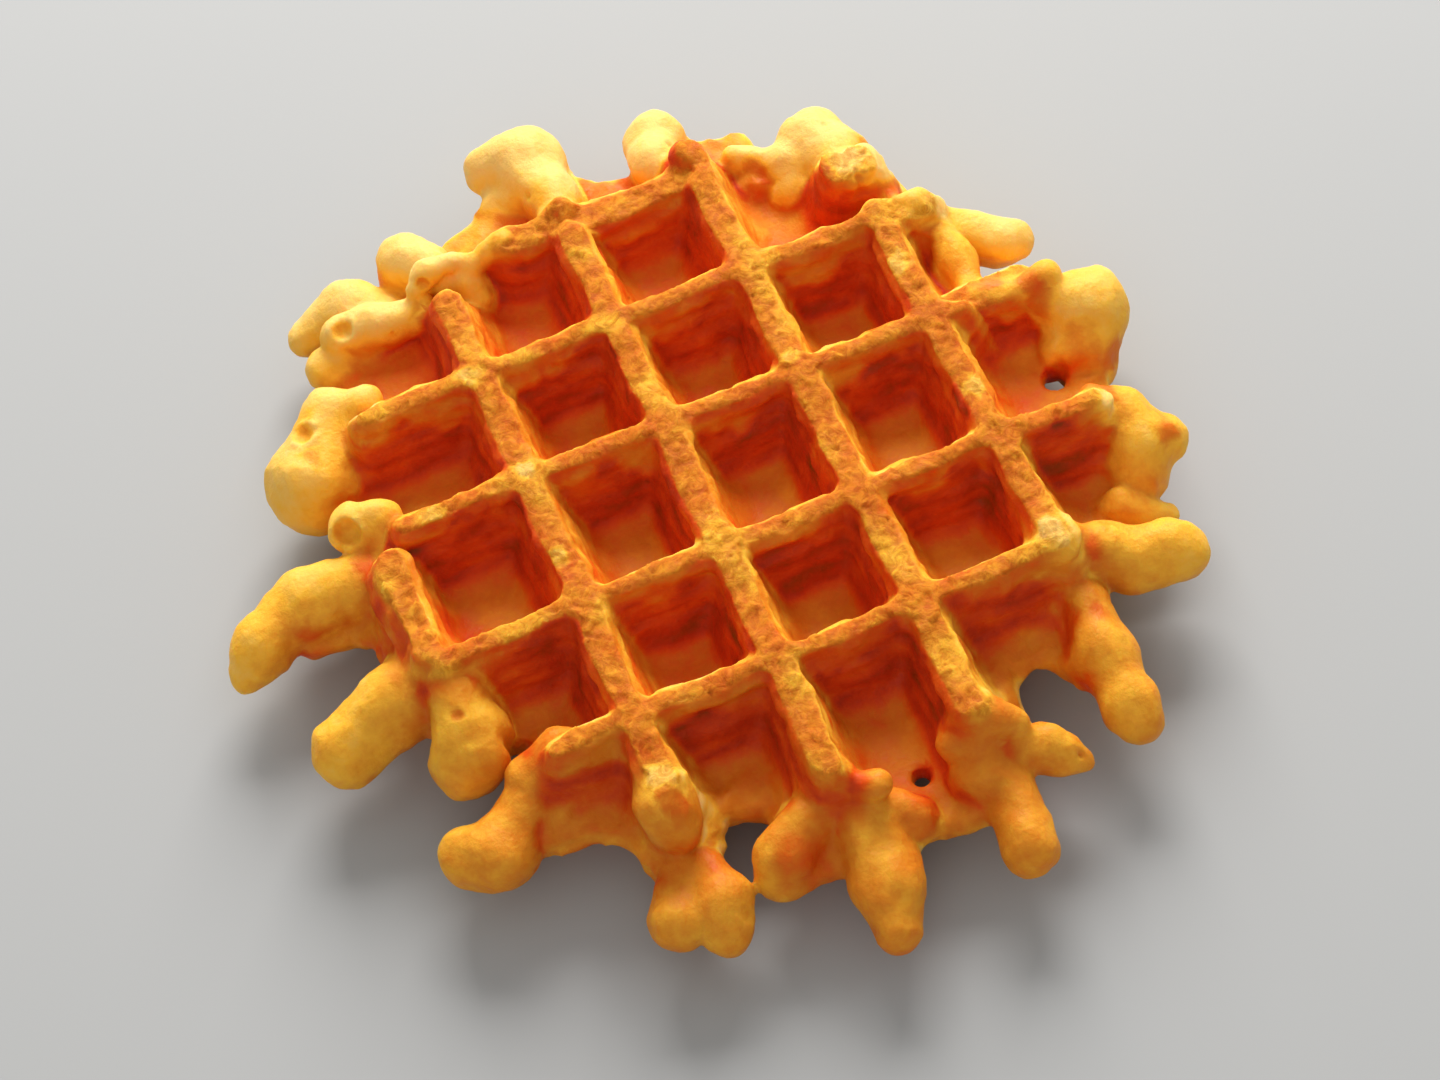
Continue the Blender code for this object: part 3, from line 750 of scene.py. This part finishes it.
def make_mesh(name, points, quads):
    """A mesh from arrays of points in millimetres and of quads."""
    mesh = bpy.data.meshes.new(name)
    mesh.vertices.add(len(points))
    mesh.vertices.foreach_set("co", (points / 1000).astype(np.float32).ravel())
    mesh.loops.add(quads.size)
    mesh.loops.foreach_set("vertex_index", quads.astype(np.int32).ravel())
    mesh.polygons.add(len(quads))
    mesh.polygons.foreach_set("loop_start", np.arange(0, quads.size, 4, dtype=np.int32))
    mesh.polygons.foreach_set("loop_total", np.full(len(quads), 4, np.int32))
    mesh.update(calc_edges=True)
    mesh.validate()
    return mesh


waffle = bpy.data.objects.new("baked_waffle", make_mesh("baked_waffle", points, quads))
bpy.context.scene.collection.objects.link(waffle)
fewer = waffle.modifiers.new("fewer faces", "DECIMATE")
fewer.ratio = TRIANGLES / (2 * len(quads))
fewer.use_collapse_triangulate = True
finished = bpy.data.meshes.new_from_object(waffle.evaluated_get(bpy.context.evaluated_depsgraph_get()))
waffle.modifiers.clear()
waffle.data = finished
held = np.clip(numbers(finished, "co", 3), CAD_BOX[0], CAD_BOX[1])
finished.vertices.foreach_set("co", held.astype(np.float32).ravel())
finished.update()
waffle.data.shade_smooth()
print("the waffle has", len(waffle.data.polygons), "triangles")

# %% [markdown]
# ## How far each spot is baked, with painted light and shade
#
# A crust goes through one scale of colours as it bakes: cream, gold, amber, orange-brown, red-brown. So one
# number at each point is enough for the colour, from 0 for set batter to 1 for the darkest wall. It rises
# where the hot iron touched, most of all down in the pockets, and falls on the drips and near the rim.
# Painted light and shade go into the same number. It rises for painted shade deeper down the walls, on the
# far floors, inside the burst bubbles and in the hollows between crest flakes. It falls for painted light
# on walls that face back or right, on far drips and drips that face up or back, on raised crest flakes, on
# the pale crest spots, which are painted glints, and on the bubbles' lips. Under the crests a band is
# painted paler, a glow of light through the thin crest, with a toasted line along its lower edge in places.
#
# Chance has its part too: some spots that baked more or less than what lies round them are listed one by
# one. The pale spots on crests are painted highlights where a crest shone. Each cause, and each painted
# light or shade, is a mark, a number at each point, and a table says how much each adds. The material
# reads the sum from the mesh.

# %% Spots listed one by one
# Each is a column and a row on the grid and a radius in millimetres, and but for the pale ones an amount.
# The pale crest spots are painted highlights, glints where a crest shone.
GLINT_SPOTS = [
    (3.98, 1.42, 2.8), (0.98, 5.48, 2.4), (0.94, 3.64, 1.7), (3.96, 2.48, 2.3), (0.94, 2.02, 2.1),
    (4.02, 3.62, 1.9), (2.99, 2.90, 1.6), (3.98, 4.88, 1.9), (1.00, 2.98, 1.5), (0.30, 3.02, 2.2)]
DRIP_SPOTS = [
    (3.20, 0.75, 3.5, 0.18), (3.44, 0.99, 2.6, 0.32), (4.19, 1.62, 3.2, 0.16), (4.44, 2.50, 5.0, 0.14),
    (4.80, 2.97, 2.6, 0.06), (5.10, 4.32, 1.5, 0.22), (-0.25, 3.38, 3.5, 0.22), (-0.12, 4.06, 2.8, 0.18),
    (1.40, 0.55, 5.0, 0.14), (2.05, 6.05, 3.0, 0.14), (4.90, 3.42, 3.0, 0.14), (0.35, 1.25, 3.0, 0.18),
    (-0.28, 1.60, 2.5, 0.16), (1.62, 6.22, 3.5, 0.16), (2.60, 6.20, 4.0, 0.12), (0.97, 5.57, 3.5, -0.20),
    (-0.28, 2.00, 1.8, 0.24), (1.88, 0.48, 4.0, 0.18), (1.29, 0.85, 2.5, 0.12)]
IRON_SPOTS = [
    (3.42, 1.25, 7.0, -0.10), (-0.06, 3.68, 7.0, 0.20), (3.43, 0.61, 4.0, -0.22), (1.34, 0.42, 6.0, -0.22),
    (1.14, 6.02, 4.0, -0.20), (-0.30, 3.00, 4.0, -0.16), (4.25, 1.48, 3.0, -0.10), (4.83, 2.96, 3.0, -0.10)]
SPOT_WAVER = 0.8
PALE_FROM, PALE_TO = 5, 2.5


def painted_glints(points):
    """1 in the inner half of each spot and fading to 0 at its radius: a painted highlight where a crest
    shone.
    """
    spots = [(*place(u, v), radius) for u, v, radius in GLINT_SPOTS]
    edge = SPOT_WAVER * noise(points, 1.6, 68)
    away = [(np.hypot(points[:, 0] - x, points[:, 1] - y) + edge) / radius for x, y, radius in spots]
    return ease(1.0, 0.5, np.min(away, axis=0)) * ease(HEIGHT - PALE_FROM, HEIGHT - PALE_TO, points[:, 2])


def baked_spots(points, spots):
    """The sum of spots that baked more, or less, than what lies round them: each gives its amount round its
    middle and fades to nothing just past its radius."""
    edge = SPOT_WAVER * noise(points, 2.0, 70)
    extra = np.zeros(len(points))
    for u, v, radius, amount in spots:
        x, y = place(u, v)
        away = np.hypot(points[:, 0] - x, points[:, 1] - y) + edge
        extra += amount * ease(1.1, 0.4, away / radius)
    return extra


# %% Marks of the heat, and of painted light and shade
# A mark is mostly from 0 to 1, and says how far something holds at a point.
TOP_SKIN = 1.5
LOW_SKIN = 0.5
# The paler band under a crest is painted light; these set where its edge lies and how it wavers.
BAND_DEEP = 2.4
BAND_WAVER = 3.0
BAND_FRAY = 0.9
BAND_SOFT = 0.7
BAND_LEAST = 0.4
TOAST_BELOW, TOAST_WIDTH = 0.3, 0.6
IRON_REACH, IRON_TOUCH = 5.0, 0.5
# Noise on points squashed sideways gives level streaks, and on points squashed in height upright ones.
STREAKS_LEVEL = np.array([0.2, 0.2, 1])
BANDS_UPRIGHT = np.array([1, 1, 0.5])


def patches(points):
    """Broad and close patches of heat, and how far to the back and to the right a point is."""
    return {"plain": 1.0, "broad": noise(points, 8.0, 61), "close": noise(points, 3.2, 62),
            "far": points[:, 1] / (HIGH[1] - MARGIN), "right": points[:, 0] / (HIGH[0] - MARGIN)}


def wall_marks(points, normals):
    """Depth in the pocket, for painted shade, streaks along the wall, the paler band under a crest, a
    painted glow of light through it, the toasted line along its lower edge, and walls that face back or
    right, painted paler as lit by the window."""
    z = points[:, 2]
    # Painted shade: the wall grows darker deeper in the pocket.
    shade_in_pocket = ease(HEIGHT - TOP_SKIN, WEB_TOP + TOP_SKIN, z) * ease(LOW_SKIN, LOWER_POCKET - LOW_SKIN, z)
    level = points * STREAKS_LEVEL
    streak = np.clip(1.6 * noise(level, 1.3, 66) + 0.8 * noise(level, 0.7, 71), -1, 1)
    under = np.minimum(sample(crest_level, points) - z, z)
    upright = points * BANDS_UPRIGHT
    band_edge = BAND_DEEP + BAND_WAVER * noise(upright, 6.0, 63) + BAND_FRAY * noise(upright, 1.8, 67)
    across = ease(0.3, 0.8, np.abs(normals[:, 1]))
    # Painted light: a paler band under the crest, strongest on walls that face back or front.
    painted_glow = ease(band_edge + BAND_SOFT, band_edge - BAND_SOFT, under)
    toast = hump(under - band_edge, TOAST_BELOW, TOAST_WIDTH) * ease(-0.1, 0.3, noise(points, 2.6, 69))
    # Painted light: walls that face back or right, towards the window, are paler.
    back = ease(0.25, 0.75, np.maximum(normals[:, 0], normals[:, 1]))
    return {"shade_in_pocket": shade_in_pocket, "streak": streak, "painted_glow": painted_glow * (BAND_LEAST + (1 - BAND_LEAST) * across),
            "toast": toast, "faces the window": back}


def crest_marks(points):
    """Raised flakes, painted paler as lit with their hollows darker as shade, pale patches by chance, and
    the listed pale spots, which are painted highlights.
    """
    patch = ease(0.15, 0.5, noise(points, 8.0, 64))
    # Painted light and shade: raised flakes come out paler, their hollows darker.
    flake_shading = np.clip(roughness(points), -1, 1)
    return {"flake_shading": flake_shading, "pale patch": patch, "painted glint": painted_glints(points)}


def drip_marks(points, normals, heat):
    """Nearness to the hot iron, smudges there, faces turned up, and back and up on the far half, for
    painted light, the far half again for painted shade on the floors, the listed spots, and the burst
    bubbles, for painted shade inside them and a painted highlight on their lips."""
    iron = ease(IRON_REACH, IRON_TOUCH, sample(pressed, points))
    smudge = ease(0.18, 0.32, noise(points, 5.0, 65)) * ease(0.5, 1.0, iron + 0.6 * heat["broad"])
    # Painted light and shade: on the far half, drips facing back and up are paler and floors darker.
    far_half = ease(0, 1, heat["far"])
    return {"iron": iron, "smudge": smudge, "faces up": normals[:, 2], "far half shade": far_half,
            "far and facing the light": far_half * (normals[:, 1] + normals[:, 2]),
            # Painted shade inside the burst bubbles, and a painted highlight on their lips.
            "spot": baked_spots(points, DRIP_SPOTS), "hollow shade": ease(0.3, 0.0, from_bubbles(points)),
            "lip highlight": bubble_lip(points)}


# %% The baking, with painted light and shade
# What each mark adds to a region's baking. "plain" is the baking of the region where no other mark holds.
BAKING_AND_LIGHT = {
    # Painted shade: deeper down the wall. Painted light: the band under the crest and walls facing the
    # window.
    "wall": {"plain": 0.72, "shade_in_pocket": 0.07, "broad": 0.09, "close": 0.08, "streak": 0.09, "painted_glow": -0.20,
             "toast": 0.12, "faces the window": -0.32},
    # Painted light and shade: raised flakes paler, their hollows darker; the pale spots are painted glints.
    "crest": {"plain": 0.41, "flake_shading": -0.04, "close": 0.07, "pale patch": -0.14, "painted glint": -0.30},
    # Painted shade: the far half of the floors is darker.
    "floor": {"plain": 0.47, "broad": 0.12, "close": 0.05, "far half shade": 0.08},
    # Painted light: far drips and drips that face up or back are paler; painted shade in bubbles, highlight
    # on lips.
    "batter": {"plain": 0.22, "far": -0.17, "iron": 0.13, "broad": 0.06, "close": 0.05, "smudge": 0.20,
               "faces up": -0.05, "far and facing the light": -0.10, "right": -0.04, "spot": 1.0, "hollow shade": 0.16,
               "lip highlight": -0.08}}
RIM_GOLD = {"wall": 0.34, "crest": 0.26, "floor": 0.04}


def blend(weights, marks):
    """The sum of each mark times its weight."""
    return sum(weight * marks[name] for name, weight in weights.items())


def bake_and_light_of(points, normals, shares):
    """Each region's share times its blend of marks, with the iron's spots added on the upper side, and with
    what the rim stayed paler by taken off."""
    marks = patches(points)
    marks.update(wall_marks(points, normals))
    marks.update(crest_marks(points))
    marks.update(drip_marks(points, normals, marks))
    pressed_part = sum(shares[name] * blend(BAKING_AND_LIGHT[name], marks) for name in ("wall", "crest", "floor"))
    upper = ease(LOWER_POCKET, WEB_TOP, points[:, 2])
    pressed_part = pressed_part + (1 - shares["batter"]) * upper * baked_spots(points, IRON_SPOTS)
    rim_gold = shares["rim"] * blend(RIM_GOLD, shares)
    return np.clip(pressed_part - rim_gold + shares["batter"] * blend(BAKING_AND_LIGHT["batter"], marks), 0, 1)


final = numbers(waffle.data, "co", 3) * 1000
final_normals = outward(final)
final_shares = regions(final, final_normals)
bake_and_light = bake_and_light_of(final, final_normals, final_shares)
for name, values in {"bake_and_light": bake_and_light, "crest": final_shares["crest"]}.items():
    layer = waffle.data.attributes.new(name, "FLOAT", "POINT")
    layer.data.foreach_set("value", values.astype(np.float32))
print("baking from", bake_and_light.min().round(2), "to", bake_and_light.max().round(2), "mean", bake_and_light.mean().round(2))

# %% [markdown]
# ## The finish: baked crust
#
# Crust is dried, browned batter: a matt skin with a faint sheen of butter. A colour ramp holds the scale of
# baking, read from the number that also holds the painted light and shade, and a fine mottling shifts each
# spot a little along it. On the crests the torn skin is flecked: the flakes stay pale and a warped noise
# darkens the hollows between them, where the same noise sets the bump low, so the flecks are painted
# highlights and painted shade along with darker crust in the cracks. The colours are sRGB hex values,
# turned to linear once.
# Light goes a millimetre or two into the crumb and comes out redder, which is what the subsurface share
# is for. Patterns are given by the length of their waves in millimetres.

# %% Colours and the add-node helper
BAKING_SCALE = [
    (0.00, "#F6D07C"), (0.08, "#F6CA68"), (0.22, "#F6BD3E"), (0.36, "#E2932A"), (0.46, "#DA7A1E"),
    (0.58, "#DA5B13"), (0.70, "#D04513"), (0.82, "#B93615"), (1.00, "#7C3A0C")]
# The dark tint is partly painted shade in the hollows between the crest's flakes.
TORN_SKIN_AND_SHADE = ("#DECBB2", "#F8FAF4")


def linear(code):
    """sRGB hex to linear: c / 12.92 below 0.04045, and ((c + 0.055) / 1.055)^2.4 above, then alpha 1."""
    parts = [int(code[i:i + 2], 16) / 255 for i in (1, 3, 5)]
    return (*(c / 12.92 if c < 0.04045 else ((c + 0.055) / 1.055) ** 2.4 for c in parts), 1.0)


def per_metre(millimetres):
    """A noise scale whose waves are that many millimetres long, for a pattern on Object coordinates."""
    return 1000 / millimetres


crust_finish = bpy.data.materials.new("baked_crust")
crust_finish.use_nodes = True
tree = crust_finish.node_tree
tree.nodes.clear()


def add(kind, inputs=None, **settings):
    """One node with its settings, and its inputs either linked to a socket or set to a value."""
    node = tree.nodes.new(kind)
    for name, value in settings.items():
        setattr(node, name, value)
    for name, value in (inputs or {}).items():
        if isinstance(value, bpy.types.NodeSocket):
            tree.links.new(value, node.inputs[name])
        else:
            node.inputs[name].default_value = value
    return node


# %% Colour of the crust
MOTTLE = 1.6
MOTTLE_SHIFT = 0.05
FLECK = 1.7

spot = add("ShaderNodeTexCoord").outputs["Object"]
bake_and_light_in = add("ShaderNodeAttribute", attribute_name="bake_and_light").outputs["Fac"]
mottle = add("ShaderNodeTexNoise", {"Vector": spot, "Scale": per_metre(MOTTLE), "Detail": 4.0,
                                    "Roughness": 0.6})
shift = add("ShaderNodeMapRange", {"Value": mottle.outputs["Fac"], "From Min": 0.3, "From Max": 0.7,
                                   "To Min": -MOTTLE_SHIFT, "To Max": MOTTLE_SHIFT})
flake = add("ShaderNodeTexNoise", {"Vector": spot, "Scale": per_metre(FLECK), "Detail": 6.0,
                                   "Roughness": 0.66, "Distortion": 1.5})
on_crest = add("ShaderNodeAttribute", attribute_name="crest").outputs["Fac"]
on_scale = add("ShaderNodeMath", {0: bake_and_light_in, 1: shift.outputs[0]}, operation="ADD")
scale = add("ShaderNodeValToRGB", {"Fac": on_scale.outputs[0]})
stops = scale.color_ramp.elements
for position, code in BAKING_SCALE[1:-1]:
    stops.new(position).color = linear(code)
stops[0].color = linear(BAKING_SCALE[0][1])
stops[-1].color = linear(BAKING_SCALE[-1][1])
torn = add("ShaderNodeMapRange", {"Value": flake.outputs["Fac"], "From Min": 0.41, "From Max": 0.58})
# Painted light and shade, with darker crust: the flecks are darkest where the flake bump is lowest.
fleck_and_shade = add("ShaderNodeMix", {0: torn.outputs[0], 6: linear(TORN_SKIN_AND_SHADE[0]), 7: linear(TORN_SKIN_AND_SHADE[1])},
            data_type="RGBA")
skin = add("ShaderNodeMix", {0: on_crest, 6: scale.outputs["Color"], 7: fleck_and_shade.outputs[2]},
           data_type="RGBA", blend_type="MULTIPLY")

# %% Surface of the crust
GRAIN = 0.8
GRAIN_HEIGHT = 0.0003
FLECK_HEIGHT = 0.0002
FLECK_STRENGTH = 0.35
DRY, BUTTERY = 0.58, 0.36
CREST_DULLER = 0.22
CRUST_IOR = 1.45
SHEEN = 0.16
CRUMB_SHARE = 0.4
CRUMB_DEPTH = 0.002
CRUMB_COLOURS = (1.0, 0.38, 0.1)

grain = add("ShaderNodeTexNoise", {"Vector": spot, "Scale": per_metre(GRAIN), "Detail": 4.0,
                                   "Roughness": 0.6})
grain_bump = add("ShaderNodeBump", {"Height": grain.outputs["Fac"], "Strength": 0.6,
                                    "Distance": GRAIN_HEIGHT})
edge = add("ShaderNodeMath", {0: on_crest, 1: FLECK_STRENGTH}, operation="MULTIPLY")
flake_bump = add("ShaderNodeBump", {"Height": torn.outputs[0], "Strength": edge.outputs[0],
                                    "Distance": FLECK_HEIGHT, "Normal": grain_bump.outputs[0]})
shine = add("ShaderNodeMapRange", {"Value": mottle.outputs["Fac"], "From Min": 0.4, "From Max": 0.65,
                                   "To Min": DRY, "To Max": BUTTERY})
dull = add("ShaderNodeMath", {0: on_crest, 1: CREST_DULLER, 2: shine.outputs[0]}, operation="MULTIPLY_ADD")
crust_shader = add("ShaderNodeBsdfPrincipled", {
    "Base Color": skin.outputs[2], "Roughness": dull.outputs[0], "Normal": flake_bump.outputs[0],
    "IOR": CRUST_IOR, "Specular IOR Level": SHEEN, "Subsurface Weight": CRUMB_SHARE,
    "Subsurface Radius": CRUMB_COLOURS, "Subsurface Scale": CRUMB_DEPTH})
add("ShaderNodeOutputMaterial", {"Surface": crust_shader.outputs[0]})
waffle.data.materials.clear()
waffle.data.materials.append(crust_finish)
print("finish:", crust_finish.name, "with", len(tree.nodes), "nodes")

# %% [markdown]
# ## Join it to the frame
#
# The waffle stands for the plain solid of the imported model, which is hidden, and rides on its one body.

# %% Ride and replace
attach(waffle, "root")
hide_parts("waffle")

# %% [markdown]
# ## Floor, light and camera
#
# The floor is a plain pale sheet. One large soft light stands low behind on the right, as a window would,
# so the walls and floors of the pockets fall into shade. A weak lamp on the near side and a dim sky fill
# the shadows. The camera looks down from the near side, turned a little about its own axis.

# %% Floor
FLOOR_HALF = 1.5
floor_mesh = bpy.data.meshes.new("floor")
card = [(x * FLOOR_HALF, y * FLOOR_HALF, 0) for x, y in ((-1, -1), (1, -1), (1, 1), (-1, 1))]
floor_mesh.from_pydata(card, [], [(0, 1, 2, 3)])
floor = bpy.data.objects.new("floor", floor_mesh)
bpy.context.scene.collection.objects.link(floor)
floor_finish = bpy.data.materials.new("pale_card")
floor_finish.use_nodes = True
floor_shader = floor_finish.node_tree.nodes["Principled BSDF"]
floor_shader.inputs["Base Color"].default_value = linear("#AEB6C4")
floor_shader.inputs["Roughness"].default_value = 0.8
floor_mesh.materials.append(floor_finish)

# %% Lights
TARGET = Vector((0.0, 0.0, 0.010))


def soft_light(name, where, size, power, colour):
    """A square lamp at a point, turned to face the waffle."""
    lamp = bpy.data.lights.new(name, "AREA")
    lamp.size = size
    lamp.energy = power
    lamp.color = linear(colour)[:3]
    thing = bpy.data.objects.new(name, lamp)
    thing.location = where
    thing.rotation_euler = (TARGET - Vector(where)).to_track_quat("-Z", "Y").to_euler()
    bpy.context.scene.collection.objects.link(thing)


soft_light("window", where=(0.26, 0.62, 0.43), size=0.50, power=10.6, colour="#FFF4E2")
soft_light("near_fill", where=(-0.30, -0.60, 0.60), size=0.60, power=0.8, colour="#FFF2DC")
SKY_STRENGTH = 0.52
sky = bpy.data.worlds.new("soft_sky")
sky.use_nodes = True
dome = sky.node_tree.nodes["Background"]
dome.inputs["Color"].default_value = linear("#F5ECDA")
dome.inputs["Strength"].default_value = SKY_STRENGTH
bpy.context.scene.world = sky
bpy.context.scene.view_settings.view_transform = "Standard"

# %% Camera
LENS = 87.5
CAMERA_AT = Vector((-0.04236, -0.21985, 0.35075))
LOOK_AT = Vector((0.0012, -0.00535, 0.0093))
ROLL = math.radians(-12.306)

lens = bpy.data.cameras.new("camera")
lens.lens = LENS
lens.sensor_width = 36.0
lens.clip_start = 0.01
lens.clip_end = 10.0
camera = bpy.data.objects.new("camera", lens)
turn = (LOOK_AT - CAMERA_AT).to_track_quat("-Z", "Y").to_matrix().to_4x4()
camera.matrix_world = Matrix.Translation(CAMERA_AT) @ turn @ Matrix.Rotation(ROLL, 4, "Z")
bpy.context.scene.collection.objects.link(camera)
bpy.context.scene.camera = camera
print("camera at", [round(x, 4) for x in camera.location])
